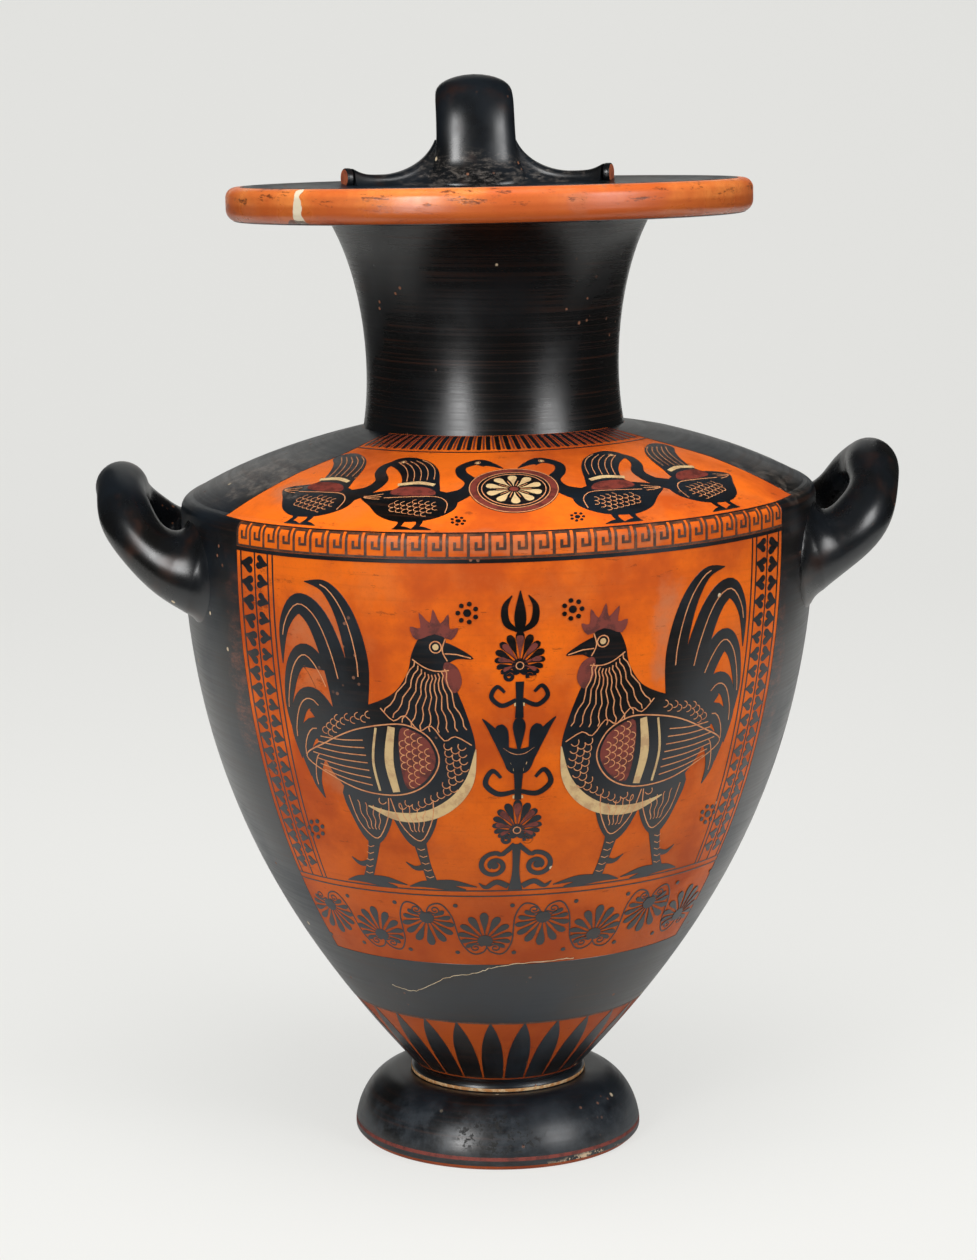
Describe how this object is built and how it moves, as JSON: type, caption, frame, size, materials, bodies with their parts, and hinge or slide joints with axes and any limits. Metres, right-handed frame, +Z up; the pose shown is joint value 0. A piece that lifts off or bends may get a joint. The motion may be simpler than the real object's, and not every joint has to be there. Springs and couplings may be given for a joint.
{
  "type": "hydria jar",
  "caption": "Footed clay water jar with an offset shoulder, tall flaring neck, broad flat lip, looped side handles and an upright strap handle behind.",
  "frame": {"origin": "middle of the ring that the foot rests on, on the level of the table", "axes": "+Z up along the foot's axis; the painted panel faces -Y, the strap handle stands at +Y and the looped handles at -X and +X"},
  "size_m": [0.3638, 0.2872, 0.4856],
  "materials": {
    "black_gloss": "sintered black slip, satin gloss with brush streaks",
    "orange_clay": "burnished orange clay, soft sheen"
  },
  "bodies": {
    "root": {"foot": "black_gloss", "foot_bead": "orange_clay", "body": "orange_clay", "shoulder": "orange_clay", "neck": "black_gloss", "mouth": "black_gloss", "left_handle": "black_gloss", "right_handle": "black_gloss", "back_handle": "black_gloss", "left_wing": "black_gloss", "right_wing": "black_gloss", "left_disc": "orange_clay", "right_disc": "orange_clay"}
  },
  "joints": []
}
